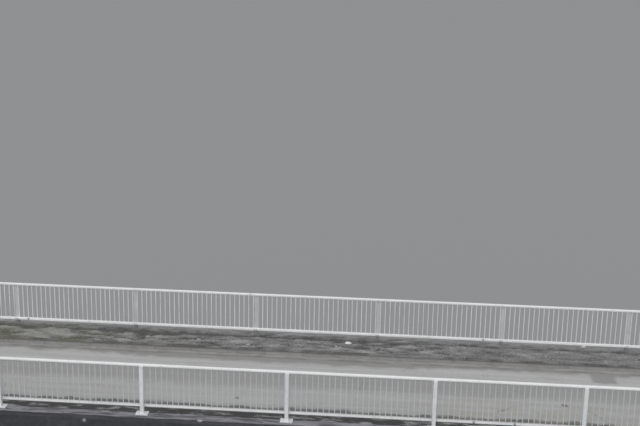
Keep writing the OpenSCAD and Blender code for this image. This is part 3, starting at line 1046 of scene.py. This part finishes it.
def scatter(name, field, meshes):
    draw = random.Random(field["seed"])
    bm = bmesh.new()
    shades = bm.verts.layers.float.new("shade")

    def lay(x, y, size, flat, turn, shade):
        count = len(bm.verts)
        height = field["ground"](x, y) + size * flat * 0.25
        stretch = Matrix.Diagonal((size, size, size * flat, 1))
        stamp(bm, draw.choice(meshes), at(x, y, height) @ turn @ stretch)
        for vert in bm.verts[count:]:
            vert[shades] = shade

    for i in range(field["count"]):
        y = draw.uniform(field["from"], field["to"])
        x = draw.uniform(-deckHalf + 0.05, deckHalf - 0.05) + y * skewRun
        size = field["small"] + (field["big"] - field["small"]) * draw.random() ** 3
        turn = Matrix.Rotation(draw.uniform(0, math.tau), 4, "Z")
        tilt = Matrix.Rotation(draw.uniform(-0.3, 0.3), 4, "X")
        lay(x, y, size, 1.0, turn @ tilt, draw.random())
    for x, y, size, flat, shade in field.get("lumps", ()):
        lay(x, y, size, flat, Matrix.Rotation(draw.uniform(-0.2, 0.2), 4, "Z"), shade)
    addPiece(name, bm, "looseStone", "verge_soil", 50)


stones = [stoneMesh(i) for i in range(stoneShapes["count"])]
for name, field in stoneFields.items():
    scatter(name, field, stones)
print("stones scattered")


# Holding down bolts, four to a base plate: a washer, a nut and the stud's end
anchor = {
    "levels": [(24, 0.0165, 0.0025, 0.0006), (6, 0.0128, 0.009, 0.0018), (12, 0.006, 0.005, 0.0015)],
    "along": 0.1, "across": 0.062, "wobble": 0.002, "seed": 71,
}


def anchorBolts(side):
    draw = random.Random(anchor["seed"] + (side == "far"))
    mesh = stacked(anchor["levels"])
    bm = bmesh.new()
    for name in postNames[side]:
        centre = middle(name)
        for dx in (-anchor["along"], anchor["along"]):
            for dy in (-anchor["across"], anchor["across"]):
                spot = Vector((centre.x + dx, centre.y + dy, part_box(name)[0].z + plateThick))
                spot += Vector((draw.uniform(-1, 1), draw.uniform(-1, 1), 0)) * anchor["wobble"]
                stamp(bm, mesh, at(*spot) @ Matrix.Rotation(draw.uniform(0, math.tau), 4, "Z"))
    addPiece(side + "_anchor_bolts", bm, "postPaint", "post_steel", 35)


# Bolts that hold the rails: domed heads on the road side of the bottom rail, nuts inside the flange
railBolts = {
    "nut": [(6, 0.0107, 0.008, 0.0014), (12, 0.006, 0.005, 0.001)],
    "head": 0.0125, "rise": 0.006, "apart": 0.044, "capApart": 0.04, "capIn": 0.018,
}


# Turns what stands on the deck to stand on a face that looks away from the road
def outTurn(side):
    return Matrix.Rotation(math.radians(90) * roadward[side], 4, "X")


def railFixings(side):
    dome, nut = domed(railBolts["head"], railBolts["rise"], 16), stacked(railBolts["nut"])
    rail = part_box(side + "_bottom_rail_1")
    railZ = (rail[0].z + rail[1].z) / 2
    bm = bmesh.new()
    for name in postNames[side]:
        centre = middle(name)
        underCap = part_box(name)[1].z - postSection["cap"]
        flangeInside = centre.y + roadward[side] * (postSection["half"] - postSection["flange"])
        for dx in (-railBolts["apart"] / 2, railBolts["apart"] / 2):
            stamp(bm, dome, at(centre.x + dx, roadFace(side, rail), railZ) @ outTurn(side))
            stamp(bm, nut, at(centre.x + dx, flangeInside, railZ) @ outTurn(side))
        for dx in (-railBolts["capApart"] / 2, railBolts["capApart"] / 2):
            y = centre.y + roadward[side] * railBolts["capIn"]
            stamp(bm, nut, at(centre.x + dx, y, underCap) @ upsideDown)
    addPiece(side + "_rail_bolts", bm, "boltZinc", "post_steel", 35)


def barPlaces(low, high):
    centre = (low + high) / 2
    return [centre + (i - (barCount - 1) / 2) * barPitch for i in range(barCount)]


# The middle of the gap between bars that is nearest to a place
def barGapNear(x, low, high):
    return min((bar + barPitch / 2 for bar in barPlaces(low, high)), key=lambda gap: abs(gap - x))


# Inside a panel: its two ends, its middle line, and the levels between its flats
def inPanel(name):
    low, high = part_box(name)
    return low.x, high.x, (low.y + high.y) / 2, low.z + flatThick, high.z - flatThick


# A small mesh on a panel's lower flat and, upside down, another under the upper one
def onFlats(bm, mesh, x, y, foot, head):
    stamp(bm, mesh, at(x, y, foot))
    stamp(bm, mesh, at(x, y, head) @ upsideDown)


# Screws through the rails into the sleeves at each joint, and through the panels' flats
screws = {"head": 0.0065, "rise": 0.0028, "back": (0.03, 0.08), "flatEnd": 0.15,
          "flatShares": (-1, -1 / 3, 1 / 3, 1)}


def screwHeads(side):
    screw = domed(screws["head"], screws["rise"], 12)
    bm = bmesh.new()
    for start, end, box in railJoints(side):
        height = (box[0].z + box[1].z) / 2
        for back in screws["back"]:
            for x in (start - back, end + back):
                stamp(bm, screw, at(x, roadFace(side, box), height) @ outTurn(side))
    for name in panelNames[side]:
        left, right, y, foot, head = inPanel(name)
        reach = (right - left) / 2 - screws["flatEnd"]
        for share in screws["flatShares"]:
            onFlats(bm, screw, barGapNear((left + right) / 2 + share * reach, left, right), y, foot, head)
    addPiece(side + "_screws", bm, "boltZinc", "rail_steel", 50)


# Weld beads: round each post on its base plate, and at both ends of each bar
welds = {"post": 0.006, "bar": 0.003}


# A collar that leans in, as it rises, from its foot to the piece that it goes round
def collarMesh(foot, leg):
    bm = bmesh.new()
    face = bm.faces.new([bm.verts.new((x, y, 0)) for x, y in foot])
    bm.normal_update()
    if face.normal.z < 0:
        face.normal_flip()
    bmesh.ops.inset_individual(bm, faces=[face], thickness=leg, depth=leg, use_even_offset=True)
    bmesh.ops.contextual_create(bm, geom=boundary(bm.edges))
    bmesh.ops.recalc_face_normals(bm, faces=bm.faces)
    return toMesh("collar", bm)


def joistFoot(leg):
    half, web = postSection["half"] + leg, postSection["webHalf"] + leg
    flangeInside = postSection["half"] - postSection["flange"] - leg
    quarter = [(half, -half), (half, -flangeInside), (web, -flangeInside)]
    right = quarter + [(x, -y) for x, y in reversed(quarter)]
    return right + [(-x, y) for x, y in reversed(right)]


def barFoot(leg):
    half = barHalf + leg
    return [(-half, -half), (half, -half), (half, half), (-half, half)]


postWeld = collarMesh(joistFoot(welds["post"]), welds["post"])
barWeld = collarMesh(barFoot(welds["bar"]), welds["bar"])


def weldBeads(side):
    bm = bmesh.new()
    for name in postNames[side]:
        centre = middle(name)
        stamp(bm, postWeld, at(centre.x, centre.y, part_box(name)[0].z + plateThick))
    addPiece(side + "_post_welds", bm, "postPaint", "post_steel", 50)
    bm = bmesh.new()
    for name in panelNames[side]:
        left, right, y, foot, head = inPanel(name)
        for x in barPlaces(left, right):
            onFlats(bm, barWeld, x, y, foot, head)
    addPiece(side + "_bar_welds", bm, "barPaint", "bar_steel", 50)


# The rails run on past the end posts, and there they hold the first bars of the bays beyond
endBars = {"count": 4, "flat": 0.015, "inset": 0.006, "length": 0.43, "arris": 0.0008}


def railEnds(side):
    bars = bmesh.new()
    ends = []
    for name, outward in ((panelNames[side][0], -1), (panelNames[side][-1], 1)):
        left, right, y, foot, head = inPanel(name)
        post = (left if outward < 0 else right) + outward * endBars["inset"]
        start, end = sorted((post + outward * endBars["inset"], post + outward * endBars["length"]))
        for level in (foot - flatThick, head):
            boxed(bars, (start, y - endBars["flat"], level), (end, y + endBars["flat"], level + flatThick))
        for i in range(endBars["count"]):
            x = post + outward * (i + 0.5) * barPitch
            boxed(bars, (x - barHalf, y - barHalf, foot), (x + barHalf, y + barHalf, head))
            ends.append((x, y, foot, head))
    bevelEdges(bars, sharpEdges(bars, 50), endBars["arris"], 1)
    bm = bmesh.new()
    stamp(bm, toMesh("bars", bars), Matrix())
    for spot in ends:
        onFlats(bm, barWeld, *spot)
    addPiece(side + "_end_bars", bm, "barPaint", "bar_steel", 50)


fittings = {"anchor bolts": anchorBolts, "rail bolts": railFixings, "screws": screwHeads,
            "welds": weldBeads, "end bars": railEnds}
for label, build in fittings.items():
    for side in sides:
        build(side)
    print(label, "placed")


# Laminated bearings: rubber bulges between thin steel plates
bearing = {"length": 0.30, "width": 0.45, "corner": 0.012, "layers": 4, "bulge": 0.005, "spread": 2.1,
           "count": 3}


def climb(edge):
    return abs(edge.verts[0].co.z - edge.verts[1].co.z)


def padMesh(height):
    layer = height / bearing["layers"]
    x, y = bearing["length"] / 2, bearing["width"] / 2
    bm = bmesh.new()
    for i in range(bearing["layers"]):
        foot = i * layer
        edges = edgesOf(boxed(bm, (-x, -y, foot), (x, y, foot + layer)))
        bevelEdges(bm, [edge for edge in edges if climb(edge) > layer / 2], bearing["corner"], 3)
    bevelEdges(bm, [edge for edge in sharpEdges(bm, 60) if climb(edge) < tiny], bearing["bulge"], 3)
    return toMesh("pad", bm)


def bearingPads():
    low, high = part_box("bearings")
    pad = padMesh(high.z - low.z)
    bm = bmesh.new()
    for pier in ("left_pier", "right_pier"):
        centre = middle(pier)
        for i in range(bearing["count"]):
            along = (i / (bearing["count"] - 1) - 0.5) * bearing["spread"]
            stamp(bm, pad, at(centre.x, centre.y, low.z) @ Matrix.Rotation(-skew, 4, "Z") @ at(0, along, 0))
    addPiece("bearing_pads", bm, "bearingRubber", "bearing_rubber", 40, ["bearings"])


bearingPads()
print("bearings made")


# Camera: it looks down on the near side, a little to the left and tilted slightly
view = {"place": (1.214, -23.602, 17.121), "turn": 4.02, "dip": 14.804, "roll": 1.213, "lens": 62.5,
        "sensor": 36, "farthest": 1000}


def addCamera():
    data = bpy.data.cameras.new("camera")
    data.lens = view["lens"]
    data.sensor_width = view["sensor"]
    data.clip_end = view["farthest"]
    camera = bpy.data.objects.new("camera", data)
    turn = Matrix.Rotation(math.radians(view["turn"]), 4, "Z")
    dip = Matrix.Rotation(math.radians(90 - view["dip"]), 4, "X")
    roll = Matrix.Rotation(math.radians(view["roll"]), 4, "Z")
    camera.matrix_world = at(*view["place"]) @ turn @ dip @ roll
    bpy.context.scene.collection.objects.link(camera)
    bpy.context.scene.camera = camera


# Soft light: an even sky and a wide, weak sun. The floor is a plain light grey.
studio = {"sky": 0.66, "sun": 1.15, "sunWidth": 80, "sunFrom": (-0.4, -1.0, 1.05), "floor": grey(148, -1.5),
          "backdrop": grey(147, -1.5), "floorHalf": 500}


def addSky():
    world = bpy.data.worlds.new("sky")
    bpy.context.scene.world = world
    world.use_nodes = True
    tree = world.node_tree
    tree.nodes.clear()
    light = place(tree, "Background", {"Color": (1, 1, 1, 1), "Strength": studio["sky"]}).outputs[0]
    seen = place(tree, "Background", {"Color": studio["backdrop"], "Strength": 1.0}).outputs[0]
    path = place(tree, "LightPath").outputs
    direct = either(path["Is Camera Ray"], either(path["Is Glossy Ray"], path["Is Transmission Ray"]))
    place(tree, "OutputWorld", {"Surface": beside("MixShader", {0: direct, 1: light, 2: seen})[0]})


def addSun():
    data = bpy.data.lights.new("sun", "SUN")
    data.energy = studio["sun"]
    data.angle = math.radians(studio["sunWidth"])
    sun = bpy.data.objects.new("sun", data)
    sun.rotation_mode = "QUATERNION"
    sun.rotation_quaternion = Vector(studio["sunFrom"]).to_track_quat("Z", "Y")
    bpy.context.scene.collection.objects.link(sun)


def addFloor():
    finished(newMaterial("floor")[0], studio["floor"], 0.95)
    bm = bmesh.new()
    bmesh.ops.create_grid(bm, x_segments=1, y_segments=1, size=studio["floorHalf"])
    mesh = toMesh("floor", bm)
    mesh.materials.append(finish["floor"])
    floor = bpy.data.objects.new("floor", mesh)
    bpy.context.scene.collection.objects.link(floor)


addCamera()
addSky()
addSun()
addFloor()
bpy.context.scene.view_settings.view_transform = "Standard"
print("camera, light and floor set")
